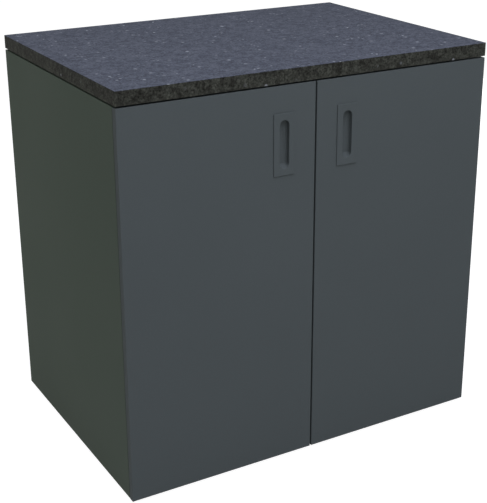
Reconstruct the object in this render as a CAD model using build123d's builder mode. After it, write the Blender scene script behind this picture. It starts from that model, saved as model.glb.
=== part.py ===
from build123d import *

import os

# Outdoor kitchen cabinet: two overlay doors under a stone worktop.
# The origin is on the floor, under the middle of the cabinet. The doors face -Y and +Z is up.
# All sizes are in millimetres.

os.makedirs("parts", exist_ok=True)

# Overall sizes
width = 900.0
depth = 630.0
body_height = 862.0
floor_gap = 8.0
shadow_gap = 4.0
worktop_thickness = 30.0
worktop_arris = 0.6

# Boards of the carcass
side_board = 15.0
base_board = 15.0
rail_board = 15.0
rail_depth = 100.0
shelf_board = 15.0
back_board = 10.0
board_arris = 0.5

# Doors
door_thickness = 15.0
door_gap = 4.0
door_seat_gap = 1.4
door_arris = 0.5
door_back_arris = 0.5

# Flush pulls
plate_width = 51.0
plate_height = 133.5
plate_thickness = 2.5
plate_corner = 1.0
plate_arris = 0.4
plate_edge_inset = 50.8
plate_top_inset = 57.3
slot_width = 23.0
slot_height = 103.5
slot_depth = 14.0
slot_wall = 1.2
slot_lip = 0.6
slot_floor_radius = 9.0
boss_radius = 3.6
boss_length = 7.5
pocket_clearance = 0.2
pull_screw_radius = 2.0
pull_screw_head_radius = 3.8
pull_screw_head_height = 2.2
screw_clearance = 0.3

# Shelf and its pins
shelf_side_clearance = 1.0
shelf_back_clearance = 2.0
shelf_setback = 20.0
pin_pitch = 32.0
pin_rows = 9
pin_front_inset = 37.0
pin_back_inset = 60.0
pin_radius = 2.4
pin_hole_radius = 2.5
pin_hole_depth = 10.0
pin_collar_radius = 4.0
pin_collar_thickness = 1.5
pin_tongue_length = 9.0
pin_tongue_width = 8.0
pin_tongue_thickness = 3.0

# Corner brackets
bracket_leg = 30.0
bracket_width = 24.0
bracket_thickness = 2.5
bracket_bend = 2.0
bracket_inset = 75.0
bracket_screw_reach = 17.0
bracket_screw_radius = 1.75
bracket_screw_head_radius = 3.5
bracket_screw_head_height = 1.8
bracket_screw_bite = 9.0

# Worktop pads
pad_radius = 16.0
pad_inset = 45.0

# Levelling feet
foot_corner_inset = 24.0
foot_disc_radius = 20.0
foot_disc_height = 4.5
foot_neck_radius = 9.0
foot_stop_gap = 0.3
foot_stud_radius = 4.95
foot_stud_reach = 15.0
insert_bore_radius = 5.0
insert_radius = 7.0
insert_flange_radius = 10.0
insert_flange_thickness = 1.5

# Door bumpers
bumper_radius = 4.0
bumper_clearance = 0.3
bumper_inset = 30.0

# Cup hinges. Places across the door are measured from its hinged edge, and places in depth from
# its front face. Each place in height is measured from the middle of the hinge.
hinge_end_inset = 100.0
cup_centre = 21.5
cup_radius = 17.5
cup_depth = 12.5
cup_bore_clearance = 0.1
cup_floor = 0.8
cup_cavity_radius = 16.3
cup_cavity_half_height = 6.2
cup_flange_thickness = 1.0
cup_flange_radius = 18.5
cup_screw_pitch = 45.0
cup_screw_offset = 9.5
cup_ear_radius = 6.0
cup_screw_radius = 1.75
cup_screw_bite = 9.0
cup_screw_head_radius = 3.4
cup_screw_head_height = 1.2

trunnion_radius = 1.25
trunnion_half_length = 9.5
trunnion_end_clearance = 0.2
running_clearance = 0.05
open_pivot_play = 1.15
eye_radius = 2.5
link_strip = 3.0

outer_link_arm_pivot = (39.0, 27.0)
outer_link_cup_pivot = (10.9, 12.3)
outer_link_bow = 5.4
outer_link_inner_face = 4.1
outer_link_thickness = 1.6

inner_link_arm_pivot = (32.0, 6.1)
inner_link_cup_pivot = (14.63, 7.42)
inner_link_cup_hole = (14.7, 8.5)
inner_link_bow = 1.5
inner_link_inner_face = 2.2
inner_link_thickness = 1.6

pin_end_reach = 0.15
arm_tongue_half_height = 2.0
arm_neck = (33.4, 19.5)
arm_front = 38.0
arm_back = 84.0
arm_height = 13.0
arm_half_height = 8.0
arm_wall = 1.5
arm_foot_gap = 0.4
arm_corner = 2.0

hinge_plate_line = 37.0
hinge_plate_thickness = 3.0
hinge_plate_wing_half_span = 24.0
hinge_plate_wing_length = 17.0
hinge_plate_corner = 2.5
plate_screw_pitch = 32.0
plate_screw_radius = 2.5
plate_screw_bite = 10.0
plate_screw_head_radius = 4.5
plate_screw_head_height = 1.4
rail_half_height = 5.5
rail_height = 7.0
arm_screw_radius = 2.0
arm_screw_head_radius = 3.6
arm_screw_head_height = 1.6
arm_screw_back_inset = 14.0
adjusting_screw_front_inset = 10.0

# Places that follow from the sizes
door_front = -(depth - plate_thickness) / 2
back = door_front + depth
door_back = door_front + door_thickness
carcass_front = door_back + door_seat_gap
body_bottom = floor_gap
body_top = body_bottom + body_height
inner_half_width = width / 2 - side_board
base_top = body_bottom + base_board
rail_bottom = body_top - rail_board
back_front = back - back_board
compartment_middle = (base_top + rail_bottom) / 2
hinge_levels = {"lower": body_bottom + hinge_end_inset, "upper": body_top - hinge_end_inset}

pull_x = -(door_gap / 2 + plate_edge_inset + plate_width / 2)
pull_z = body_top - plate_top_inset - plate_height / 2
foot_x = inner_half_width - foot_corner_inset
foot_rows = {"front": carcass_front + foot_corner_inset, "back": back_front - foot_corner_inset}
foot_places = [(x, y) for x in (-foot_x, foot_x) for y in foot_rows.values()]
pin_lines = (carcass_front + pin_front_inset, back_front - pin_back_inset)
rail_starts = {"front": carcass_front, "back": back_front - rail_depth}

# Corner brackets: height of the corner, which way the bracket stands from it, and depth
base_bracket_lines = (carcass_front + bracket_inset, back_front - bracket_inset)
rail_bracket_lines = tuple(start + rail_depth / 2 for start in rail_starts.values())
bracket_corners = [(base_top, 1, y) for y in base_bracket_lines]
bracket_corners += [(rail_bottom, -1, y) for y in rail_bracket_lines]
bracket_screw_x = inner_half_width - bracket_screw_reach

# The planes that pieces are drawn on
FACING_FRONT = Plane(origin=(0, 0, 0), x_dir=(1, 0, 0), z_dir=(0, -1, 0))


def save(piece, name):
    """Label a finished piece and write it to its own file."""
    piece.part.label = name
    export_step(piece.part, f"parts/{name}.step")


def span_box(low, high, mode=Mode.ADD):
    """Add or cut a box between two opposite corners."""
    centre = tuple((a + b) / 2 for a, b in zip(low, high))
    with Locations(centre):
        Box(*[b - a for a, b in zip(low, high)], mode=mode)


def facing_front(y):
    """Plane at depth y that looks out of the front, with +X to the right and +Z up."""
    return FACING_FRONT.offset(-y)


def mirrored(source):
    """The right hand copy of a left hand piece."""
    with BuildPart() as copy:
        add(mirror(source.part, about=Plane.YZ))
    return copy


def save_pair(source, name):
    """Save a left hand piece and its right hand copy."""
    save(source, f"{name}_left")
    save(mirrored(source), f"{name}_right")


# Worktop, flush with the body on all four sides
with BuildPart() as worktop:
    span_box(
        (-width / 2, door_front, body_top + shadow_gap),
        (width / 2, back, body_top + shadow_gap + worktop_thickness),
    )
    chamfer(worktop.faces().sort_by(Axis.Z)[-1].edges(), length=worktop_arris)
save(worktop, "worktop")

# Pads that carry the worktop over the rails and make the shadow gap
pad_rows = (carcass_front + rail_depth / 2, back_front - rail_depth / 2)
pad_columns = (-(inner_half_width - pad_inset), 0, inner_half_width - pad_inset)
with BuildPart() as worktop_pads:
    with BuildSketch(Plane.XY.offset(body_top)):
        with Locations([(x, y) for x in pad_columns for y in pad_rows]):
            Circle(pad_radius)
    extrude(amount=shadow_gap)
save(worktop_pads, "worktop_pads")

# Side panel, with its rows of shelf pin holes and the screw holes of the hinge plates
with BuildPart() as side_panel:
    span_box((-width / 2, carcass_front, body_bottom), (-inner_half_width, back, body_top))
    outer_edges = side_panel.faces().sort_by(Axis.X)[0].edges()
    inner_front_edge = side_panel.faces().sort_by(Axis.X)[-1].edges().sort_by(Axis.Y)[0]
    chamfer([*outer_edges, inner_front_edge], length=board_arris)
    with BuildSketch(Plane.YZ.offset(-inner_half_width)):
        for y in pin_lines:
            with Locations((y, compartment_middle)):
                with GridLocations(pin_pitch, pin_pitch, 1, pin_rows):
                    Circle(pin_hole_radius)
    extrude(amount=-pin_hole_depth, mode=Mode.SUBTRACT)
    with BuildSketch(Plane.YZ.offset(-inner_half_width)):
        for level in hinge_levels.values():
            with Locations((carcass_front + hinge_plate_line, level)):
                with GridLocations(plate_screw_pitch, plate_screw_pitch, 1, 2):
                    Circle(plate_screw_radius)
    extrude(amount=-plate_screw_bite, mode=Mode.SUBTRACT)
    with BuildSketch(Plane.YZ.offset(-inner_half_width)):
        with Locations([(y, corner_z + up * bracket_screw_reach) for corner_z, up, y in bracket_corners]):
            Circle(bracket_screw_radius)
    extrude(amount=-bracket_screw_bite, mode=Mode.SUBTRACT)
save_pair(side_panel, "side_panel")

# Base panel, with a stepped hole for each foot insert
with BuildPart() as base_panel:
    span_box((-inner_half_width, carcass_front, body_bottom), (inner_half_width, back_front, base_top))
    chamfer(base_panel.faces().sort_by(Axis.Y)[0].edges().filter_by(Axis.X), length=board_arris)
    with BuildSketch(Plane.XY.offset(body_bottom)):
        with Locations(foot_places):
            Circle(insert_radius)
    extrude(amount=base_board, mode=Mode.SUBTRACT)
    with BuildSketch(Plane.XY.offset(base_top)):
        with Locations(foot_places):
            Circle(insert_flange_radius)
    extrude(amount=-insert_flange_thickness, mode=Mode.SUBTRACT)
    with BuildSketch(Plane.XY.offset(base_top)):
        with Locations([(x, y) for x in (-bracket_screw_x, bracket_screw_x) for y in base_bracket_lines]):
            Circle(bracket_screw_radius)
    extrude(amount=-bracket_screw_bite, mode=Mode.SUBTRACT)
save(base_panel, "base_panel")

# Threaded inserts, pressed in from above
with BuildPart() as foot_inserts:
    with BuildSketch(Plane.XY.offset(body_bottom)):
        with Locations(foot_places):
            Circle(insert_radius)
    extrude(amount=base_board - insert_flange_thickness)
    with BuildSketch(Plane.XY.offset(base_top)):
        with Locations(foot_places):
            Circle(insert_flange_radius)
    extrude(amount=-insert_flange_thickness)
    with BuildSketch(Plane.XY.offset(body_bottom)):
        with Locations(foot_places):
            Circle(insert_bore_radius)
    extrude(amount=base_board, mode=Mode.SUBTRACT)
save(foot_inserts, "foot_inserts")

# Levelling feet, wound in as far as they go
for side_name, x in (("left", -foot_x), ("right", foot_x)):
    for row_name, y in foot_rows.items():
        with BuildPart() as foot:
            with BuildSketch(Plane.XY):
                with Locations((x, y)):
                    Circle(foot_disc_radius)
            extrude(amount=foot_disc_height)
            with BuildSketch(Plane.XY.offset(foot_disc_height)):
                with Locations((x, y)):
                    RegularPolygon(foot_neck_radius, 6)
            extrude(amount=floor_gap - foot_stop_gap - foot_disc_height)
            with BuildSketch(Plane.XY.offset(floor_gap - foot_stop_gap)):
                with Locations((x, y)):
                    Circle(foot_stud_radius)
            extrude(amount=foot_stop_gap + base_board + foot_stud_reach)
        save(foot, f"foot_{row_name}_{side_name}")

# Back panel, between the side panels and flush with their back edges
with BuildPart() as back_panel:
    span_box((-inner_half_width, back_front, body_bottom), (inner_half_width, back, body_top))
save(back_panel, "back_panel")

# Top rails
for rail_name, y in rail_starts.items():
    with BuildPart() as top_rail:
        span_box((-inner_half_width, y, rail_bottom), (inner_half_width, y + rail_depth, body_top))
        chamfer(top_rail.faces().sort_by(Axis.Y)[0].edges().filter_by(Axis.X), length=board_arris)
        with BuildSketch(Plane.XY.offset(rail_bottom)):
            with Locations((-bracket_screw_x, y + rail_depth / 2), (bracket_screw_x, y + rail_depth / 2)):
                Circle(bracket_screw_radius)
        extrude(amount=bracket_screw_bite, mode=Mode.SUBTRACT)
    save(top_rail, f"top_rail_{rail_name}")

# Shelf on the middle row of pin holes
shelf_bottom = compartment_middle + pin_radius
shelf_half_width = inner_half_width - shelf_side_clearance
with BuildPart() as shelf:
    span_box(
        (-shelf_half_width, carcass_front + shelf_setback, shelf_bottom),
        (shelf_half_width, back_front - shelf_back_clearance, shelf_bottom + shelf_board),
    )
    chamfer(shelf.faces().sort_by(Axis.Y)[0].edges().filter_by(Axis.X), length=board_arris)
save(shelf, "shelf")

# Shelf pins: a round shank in the side panel, and a flat tongue under the shelf
with BuildPart() as left_pins:
    for y in pin_lines:
        with BuildSketch(Plane.YZ.offset(-inner_half_width)):
            with Locations((y, compartment_middle)):
                Circle(pin_radius)
        extrude(amount=-pin_hole_depth)
        with BuildSketch(Plane.YZ.offset(-inner_half_width)):
            with Locations((y, shelf_bottom - pin_tongue_thickness / 2)):
                Rectangle(pin_tongue_width, pin_tongue_thickness)
        extrude(amount=pin_tongue_length)
        with BuildSketch(Plane.YZ.offset(-inner_half_width)):
            with Locations((y, shelf_bottom - pin_collar_radius)):
                Circle(pin_collar_radius)
        extrude(amount=pin_collar_thickness)
with BuildPart() as shelf_pins:
    add(left_pins.part)
    add(mirror(left_pins.part, about=Plane.YZ))
save(shelf_pins, "shelf_pins")

# Corner brackets: bent strips that join the base and the rails to the side panels
with BuildPart() as left_brackets:
    for corner_z, up, y in bracket_corners:
        heel = -inner_half_width
        with BuildSketch(Plane.XZ.offset(-y)):
            with BuildLine():
                Polyline(
                    (heel, corner_z),
                    (heel + bracket_leg, corner_z),
                    (heel + bracket_leg, corner_z + up * bracket_thickness),
                    (heel + bracket_thickness, corner_z + up * bracket_thickness),
                    (heel + bracket_thickness, corner_z + up * bracket_leg),
                    (heel, corner_z + up * bracket_leg),
                    close=True,
                )
            make_face()
        extrude(amount=bracket_width / 2, both=True)
    inner_bends = left_brackets.edges().filter_by(Axis.Y).group_by(Axis.X)[1].group_by(Axis.Z)
    fillet(inner_bends[0] + inner_bends[-1], radius=bracket_bend)
    with BuildSketch(Plane.YZ.offset(-inner_half_width)):
        with Locations([(y, corner_z + up * bracket_screw_reach) for corner_z, up, y in bracket_corners]):
            Circle(bracket_screw_radius)
    extrude(amount=bracket_thickness, mode=Mode.SUBTRACT)
    for corner_z, up, y in bracket_corners:
        with BuildSketch(Plane.XY.offset(corner_z)):
            with Locations((-bracket_screw_x, y)):
                Circle(bracket_screw_radius)
        extrude(amount=up * bracket_thickness, mode=Mode.SUBTRACT)
with BuildPart() as corner_brackets:
    add(left_brackets.part)
    add(mirror(left_brackets.part, about=Plane.YZ))
save(corner_brackets, "corner_brackets")

# Screws of the corner brackets, one through each leg
with BuildPart() as left_bracket_screws:
    for corner_z, up, y in bracket_corners:
        leg_z = corner_z + up * bracket_screw_reach
        upright_leg = Plane.YZ.offset(-inner_half_width + bracket_thickness)
        flat_leg = Plane.XY.offset(corner_z + up * bracket_thickness)
        bite = bracket_screw_bite + bracket_thickness
        for leg, spot, outwards in ((upright_leg, (y, leg_z), 1), (flat_leg, (-bracket_screw_x, y), up)):
            with BuildSketch(leg):
                with Locations(spot):
                    Circle(bracket_screw_head_radius)
            extrude(amount=outwards * bracket_screw_head_height)
            with BuildSketch(leg):
                with Locations(spot):
                    Circle(bracket_screw_radius)
            extrude(amount=-outwards * bite)
with BuildPart() as bracket_screws:
    add(left_bracket_screws.part)
    add(mirror(left_bracket_screws.part, about=Plane.YZ))
save(bracket_screws, "bracket_screws")

# Door: full overlay board with a pocket for the flush pull and two bores for the hinge cups
pan_length = slot_height + 2 * slot_wall
pan_width = slot_width + 2 * slot_wall
pan_reach = slot_depth + slot_wall - plate_thickness
boss_offset = (pan_length / 2 + plate_height / 2) / 2
boss_places = [(pull_x, pull_z + boss_offset), (pull_x, pull_z - boss_offset)]
cup_x = -width / 2 + cup_centre
cup_screw_x = cup_x + cup_screw_offset
cup_screw_places = [
    (cup_screw_x, level + end * cup_screw_pitch / 2) for level in hinge_levels.values() for end in (-1, 1)
]
with BuildPart() as door:
    span_box((-width / 2, door_front, body_bottom), (-door_gap / 2, door_back, body_top))
    chamfer(door.faces().sort_by(Axis.Y)[0].edges(), length=door_arris)
    chamfer(door.faces().sort_by(Axis.Y)[-1].edges(), length=door_back_arris)
    with BuildSketch(facing_front(door_front)):
        with Locations((pull_x, pull_z)):
            SlotOverall(pan_length + 2 * pocket_clearance, pan_width + 2 * pocket_clearance, rotation=90)
    extrude(amount=-(pan_reach + pocket_clearance), mode=Mode.SUBTRACT)
    with BuildSketch(facing_front(door_front)):
        with Locations(boss_places):
            Circle(boss_radius + pocket_clearance)
    extrude(amount=-(boss_length + pocket_clearance), mode=Mode.SUBTRACT)
    with BuildSketch(facing_front(door_front)):
        with Locations(boss_places):
            Circle(pull_screw_radius + screw_clearance)
    extrude(amount=-door_thickness, mode=Mode.SUBTRACT)
    with BuildSketch(facing_front(door_back)):
        with Locations([(cup_x, level) for level in hinge_levels.values()]):
            Circle(cup_radius + cup_bore_clearance)
    extrude(amount=cup_depth, mode=Mode.SUBTRACT)
    with BuildSketch(facing_front(door_back)):
        with Locations(cup_screw_places):
            Circle(cup_screw_radius)
    extrude(amount=cup_screw_bite, mode=Mode.SUBTRACT)
save_pair(door, "door")

# Flush pull: a plate with a sunk pan for the fingers, and two screw bosses behind
with BuildPart() as flush_pull:
    with BuildSketch(facing_front(door_front)):
        with Locations((pull_x, pull_z)):
            RectangleRounded(plate_width, plate_height, plate_corner)
    extrude(amount=plate_thickness)
    chamfer(flush_pull.faces().sort_by(Axis.Y)[0].edges(), length=plate_arris)
    with BuildSketch(facing_front(door_front)):
        with Locations((pull_x, pull_z)):
            SlotOverall(pan_length, pan_width, rotation=90)
    extrude(amount=-pan_reach)
    with BuildSketch(facing_front(door_front - plate_thickness)):
        with Locations((pull_x, pull_z)):
            SlotOverall(slot_height, slot_width, rotation=90)
    extrude(amount=-slot_depth, mode=Mode.SUBTRACT)
    flat_faces = flush_pull.faces().filter_by(Axis.Y).group_by(Axis.Y)
    fillet(flat_faces[-2].edges(), radius=slot_floor_radius)
    fillet(flush_pull.faces().filter_by(Axis.Y).sort_by(Axis.Y)[0].inner_wires().edges(), radius=slot_lip)
    with BuildSketch(facing_front(door_front)):
        with Locations(boss_places):
            Circle(boss_radius)
            Circle(pull_screw_radius, mode=Mode.SUBTRACT)
    extrude(amount=-boss_length)
save_pair(flush_pull, "flush_pull")

# Screws that hold the flush pull from behind the door
with BuildPart() as flush_pull_screws:
    with BuildSketch(facing_front(door_back)):
        with Locations(boss_places):
            Circle(pull_screw_head_radius)
    extrude(amount=-pull_screw_head_height)
    with BuildSketch(facing_front(door_back)):
        with Locations(boss_places):
            Circle(pull_screw_radius)
    extrude(amount=door_thickness)
save_pair(flush_pull_screws, "flush_pull_screws")

# Soft bumpers on the free corners of the door's back
bumper_x = -(door_gap / 2 + bumper_inset)
with BuildPart() as door_bumpers:
    with BuildSketch(facing_front(door_back)):
        with Locations(
            (bumper_x, body_bottom + base_board / 2),
            (bumper_x, body_top - rail_board / 2),
        ):
            Circle(bumper_radius)
    extrude(amount=-(door_seat_gap - bumper_clearance))
save_pair(door_bumpers, "door_bumpers")

# Cup hinge pieces. Each is drawn once, for the left door, with X across the door from its hinged
# edge, Y in depth from its front face, and Z in height from the middle of the hinge.
arm_pivot_radius = trunnion_radius
outer_link_outer_face = outer_link_inner_face + outer_link_thickness
inner_link_outer_face = inner_link_inner_face + inner_link_thickness
cup_bottom = door_thickness - cup_depth
hinge_plate_middle = door_thickness + door_seat_gap + hinge_plate_line
arm_low = side_board + hinge_plate_thickness + arm_foot_gap
arm_high = arm_low + arm_height
arm_root = arm_front + arm_wall
arm_screw_depth = arm_back - arm_screw_back_inset
adjusting_screw_depth = arm_front + adjusting_screw_front_inset
rail_middle = (arm_front + arm_back) / 2
rail_foot_length = arm_back - arm_front - 2 * arm_corner
rail_length = rail_foot_length - 2 * arm_corner
CUP_AXIS = Plane(origin=(cup_centre, 0, 0), x_dir=(1, 0, 0), z_dir=(0, 1, 0))


def linked_plates(arm_pivot, cup_pivot, bow, inner_face, outer_face):
    """Two bowed link plates, one each side of the arm, with trunnions for the cup's walls."""
    thickness = outer_face - inner_face
    with BuildPart() as plates:
        for face in (inner_face, -outer_face):
            with BuildSketch(Plane.XY.offset(face)):
                with BuildLine():
                    SagittaArc(arm_pivot, cup_pivot, bow)
                trace(line_width=link_strip)
                with Locations(arm_pivot, cup_pivot):
                    Circle(eye_radius)
                with Locations(arm_pivot):
                    Circle(arm_pivot_radius + running_clearance, mode=Mode.SUBTRACT)
            extrude(amount=thickness)
        for face, reach in ((outer_face, 1), (-outer_face, -1)):
            with BuildSketch(Plane.XY.offset(face)):
                with Locations(cup_pivot):
                    Circle(trunnion_radius)
            extrude(amount=reach * (trunnion_half_length - outer_face))
    return plates


outer_link = linked_plates(
    outer_link_arm_pivot,
    outer_link_cup_pivot,
    outer_link_bow,
    outer_link_inner_face,
    outer_link_outer_face,
)
inner_link = linked_plates(
    inner_link_arm_pivot,
    inner_link_cup_pivot,
    inner_link_bow,
    inner_link_inner_face,
    inner_link_outer_face,
)

# Cup, sunk in the door, with a flange and two ears on the door's back
cup_screw_spots = [(cup_screw_offset, end * cup_screw_pitch / 2) for end in (-1, 1)]
with BuildPart() as cup:
    with BuildSketch(CUP_AXIS.offset(cup_bottom)):
        Circle(cup_radius)
    extrude(amount=cup_depth)
    with BuildSketch(CUP_AXIS.offset(door_thickness)):
        Circle(cup_flange_radius)
        with Locations(cup_screw_spots):
            Circle(cup_ear_radius)
        make_hull()
        with Locations(cup_screw_spots):
            Circle(cup_screw_radius, mode=Mode.SUBTRACT)
    extrude(amount=cup_flange_thickness)
    with BuildSketch(CUP_AXIS.offset(cup_bottom + cup_floor)):
        Circle(cup_cavity_radius)
        Rectangle(2 * cup_cavity_radius, 2 * cup_cavity_half_height, mode=Mode.INTERSECT)
    extrude(amount=cup_depth + cup_flange_thickness, mode=Mode.SUBTRACT)
    for pivot, play in (
        (outer_link_cup_pivot, running_clearance),
        (inner_link_cup_hole, open_pivot_play),
    ):
        with BuildSketch(Plane.XY):
            with Locations(pivot):
                Circle(trunnion_radius + play)
        extrude(amount=trunnion_half_length + trunnion_end_clearance, both=True, mode=Mode.SUBTRACT)

# Pins of the two links in the arm
with BuildPart() as arm_pins:
    for pivot, face in (
        (outer_link_arm_pivot, outer_link_outer_face),
        (inner_link_arm_pivot, inner_link_outer_face),
    ):
        with BuildSketch(Plane.XY):
            with Locations(pivot):
                Circle(arm_pivot_radius)
        extrude(amount=face + pin_end_reach, both=True)

# Arm: a channel over the mounting plate, and a cranked tongue that reaches into the cup
with BuildPart() as arm:
    with BuildSketch(Plane.XY):
        with Locations(inner_link_arm_pivot, arm_neck):
            Circle(eye_radius)
        make_hull()
    extrude(amount=arm_tongue_half_height, both=True)
    with BuildSketch(Plane.XY):
        with Locations(outer_link_arm_pivot, arm_neck):
            Circle(eye_radius)
        with BuildLine():
            Polyline((arm_high, arm_root), (arm_low, arm_root), arm_neck, close=True)
        make_face()
        make_hull()
    extrude(amount=arm_tongue_half_height, both=True)
    with BuildSketch(Plane(origin=(0, arm_front, 0), x_dir=(1, 0, 0), z_dir=(0, 1, 0))) as channel:
        with Locations(((arm_low + arm_high) / 2, 0)):
            Rectangle(arm_height, 2 * arm_half_height)
        fillet(channel.vertices().sort_by(Axis.X)[-2:], radius=arm_corner)
    extrude(amount=arm_back - arm_front)
    cavity_half_height = arm_half_height - arm_wall
    span_box(
        (arm_low, arm_root, -cavity_half_height),
        (arm_high - arm_wall, arm_back, cavity_half_height),
        mode=Mode.SUBTRACT,
    )
    with BuildSketch(Plane.YZ.offset(arm_high)):
        with Locations((arm_screw_depth, 0)):
            Circle(arm_screw_radius + screw_clearance)
        with Locations((adjusting_screw_depth, 0)):
            Circle(arm_screw_radius)
    extrude(amount=-arm_wall, mode=Mode.SUBTRACT)
    with BuildSketch(Plane.XY):
        with Locations(outer_link_arm_pivot, inner_link_arm_pivot):
            Circle(arm_pivot_radius)
    extrude(amount=arm_tongue_half_height, both=True, mode=Mode.SUBTRACT)

# Mounting plate: two wings for its screws, and a rail that the arm straddles
plate_screw_spots = [(hinge_plate_middle, end * plate_screw_pitch / 2) for end in (-1, 1)]
with BuildPart() as hinge_plate:
    with BuildSketch(Plane.YZ.offset(side_board)):
        with Locations((hinge_plate_middle, 0)):
            RectangleRounded(hinge_plate_wing_length, 2 * hinge_plate_wing_half_span, hinge_plate_corner)
        with Locations((rail_middle, 0)):
            RectangleRounded(rail_foot_length, 2 * rail_half_height, hinge_plate_corner)
    extrude(amount=hinge_plate_thickness)
    with BuildSketch(Plane.YZ.offset(side_board + hinge_plate_thickness)):
        with Locations((rail_middle, 0)):
            Rectangle(rail_length, 2 * rail_half_height)
    extrude(amount=rail_height)
    with BuildSketch(Plane.YZ.offset(side_board)):
        with Locations(plate_screw_spots):
            Circle(plate_screw_radius)
        with Locations((arm_screw_depth, 0)):
            Circle(arm_screw_radius)
    extrude(amount=hinge_plate_thickness + rail_height, mode=Mode.SUBTRACT)

# Screws: two that hold the plate to the side panel, one that clamps the arm to the plate, one in the
# arm that bears on the plate's rail and sets the door sideways, and two that hold the cup to the door


def screws(head_plane, spots, head, shank):
    """Screws with flat heads on a plane; head and shank are each a radius and a length."""
    with BuildPart() as screw_set:
        for radius, length in (head, (shank[0], -shank[1])):
            with BuildSketch(head_plane):
                with Locations(spots):
                    Circle(radius)
            extrude(amount=length)
    return screw_set


hinge_plate_screws = screws(
    Plane.YZ.offset(side_board + hinge_plate_thickness),
    plate_screw_spots,
    (plate_screw_head_radius, plate_screw_head_height),
    (plate_screw_radius, plate_screw_bite + hinge_plate_thickness),
)
arm_screw_head = (arm_screw_head_radius, arm_screw_head_height)
adjusting_screw_reach = arm_high - (side_board + hinge_plate_thickness + rail_height)
with BuildPart() as hinge_arm_screws:
    for spot, reach in ((arm_screw_depth, arm_height), (adjusting_screw_depth, adjusting_screw_reach)):
        add(screws(Plane.YZ.offset(arm_high), [(spot, 0)], arm_screw_head, (arm_screw_radius, reach)).part)
hinge_cup_screws = screws(
    CUP_AXIS.offset(door_thickness + cup_flange_thickness),
    cup_screw_spots,
    (cup_screw_head_radius, cup_screw_head_height),
    (cup_screw_radius, cup_screw_bite + cup_flange_thickness),
)


def at_level(source, level):
    """A hinge piece at its height on the left door."""
    return source.part.moved(Location((-width / 2, door_front, level)))


hinge_pieces = {
    "hinge_cup": cup,
    "hinge_outer_link": outer_link,
    "hinge_inner_link": inner_link,
    "hinge_arm_pins": arm_pins,
    "hinge_arm": arm,
    "hinge_plate": hinge_plate,
}
for piece_name, source in hinge_pieces.items():
    for level_name, level in hinge_levels.items():
        with BuildPart() as hinge_piece:
            add(at_level(source, level))
        save_pair(hinge_piece, f"{piece_name}_{level_name}")

hinge_screw_sets = {
    "hinge_plate_screws": hinge_plate_screws,
    "hinge_arm_screws": hinge_arm_screws,
    "hinge_cup_screws": hinge_cup_screws,
}
for set_name, source in hinge_screw_sets.items():
    with BuildPart() as screw_group:
        for level in hinge_levels.values():
            add(at_level(source, level))
    save_pair(screw_group, set_name)
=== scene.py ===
"""Outdoor kitchen cabinet, dressed for the render: finishes for every board, fitting and fastener.

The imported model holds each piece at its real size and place. This script gives it finishes, makes the
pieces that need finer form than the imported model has, and sets up the studio that it is seen in.
Sizes are in millimetres, apart from those of the lamps and the studio, which are in metres like the
meshes. All places are in the frame of the model.
"""

import logging
import math
from collections.abc import Mapping, Sequence
from dataclasses import dataclass
from enum import Enum

import bpy
import numpy as np
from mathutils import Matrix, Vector


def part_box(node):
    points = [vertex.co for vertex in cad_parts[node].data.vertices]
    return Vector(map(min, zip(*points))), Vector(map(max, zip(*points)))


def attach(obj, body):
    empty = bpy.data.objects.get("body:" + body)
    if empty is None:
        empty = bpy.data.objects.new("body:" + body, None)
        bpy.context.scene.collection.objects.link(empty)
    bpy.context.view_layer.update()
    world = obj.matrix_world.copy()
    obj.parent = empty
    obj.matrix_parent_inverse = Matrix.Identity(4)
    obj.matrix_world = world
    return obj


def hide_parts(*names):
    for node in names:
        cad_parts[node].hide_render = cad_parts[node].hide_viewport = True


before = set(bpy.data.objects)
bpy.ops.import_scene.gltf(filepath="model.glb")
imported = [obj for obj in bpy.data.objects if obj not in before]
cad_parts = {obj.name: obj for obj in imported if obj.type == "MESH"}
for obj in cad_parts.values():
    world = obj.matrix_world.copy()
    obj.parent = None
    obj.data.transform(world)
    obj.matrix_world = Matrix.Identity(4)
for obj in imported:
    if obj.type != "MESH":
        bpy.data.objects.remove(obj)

LOG = logging.getLogger("outdoor_cabinet")

Colour = tuple[float, float, float, float]
Span = tuple[float, float]
Place = tuple[float, float, float]
Key = str | int
Mesh = tuple[np.ndarray, list[tuple[int, ...]]]
Tree = bpy.types.NodeTree
Node = bpy.types.Node
Socket = bpy.types.NodeSocket
Feed = Socket | Node

MM = 0.001
# Points nearer than this to a screw's axis, in metres, lie on it
ON_AXIS = 1e-5
# Decimals of a metre to which the corners of triangles that meet agree
SAME_PLACE_DECIMALS = 6
# A surface faces along an axis when the cosine between its normal and the axis is over this
FACING = 0.7
# Most of a noise texture lies between these two values
NOISE_SPAN = {"From Min": 0.3, "From Max": 0.7}
# Radians that the bands of a wave texture turn through in one unit
WAVE_RATE = 20.0
# A Mix node's inputs for plain numbers and for colours, and its output for a colour
NUMBER_A, NUMBER_B, COLOUR_A, COLOUR_B = 2, 3, 6, 7
MIXED_COLOUR = 2

# The body that doesn't move
CARCASS = "carcass"


class Side(Enum):
    """Which half of the cabinet a piece belongs to."""

    LEFT = "left"
    RIGHT = "right"


class Level(Enum):
    """Which hinge of a door."""

    LOWER = "lower"
    UPPER = "upper"


class Row(Enum):
    """Which row of feet."""

    FRONT = "front"
    BACK = "back"


class Axis(Enum):
    """A direction of the model, as the number of its coordinate."""

    X = 0
    Y = 1
    Z = 2


def linear(hex_colour: str) -> Colour:
    """Turn an sRGB hex colour to linear light.

    Args:
        hex_colour: Six hex digits after a hash sign.

    Returns:
        Linear red, green and blue, and an alpha of one.
    """
    channels = [int(hex_colour[start:start + 2], 16) / 255 for start in (1, 3, 5)]
    light = [c / 12.92 if c <= 0.04045 else ((c + 0.055) / 1.055) ** 2.4 for c in channels]
    return (*light, 1.0)


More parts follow.
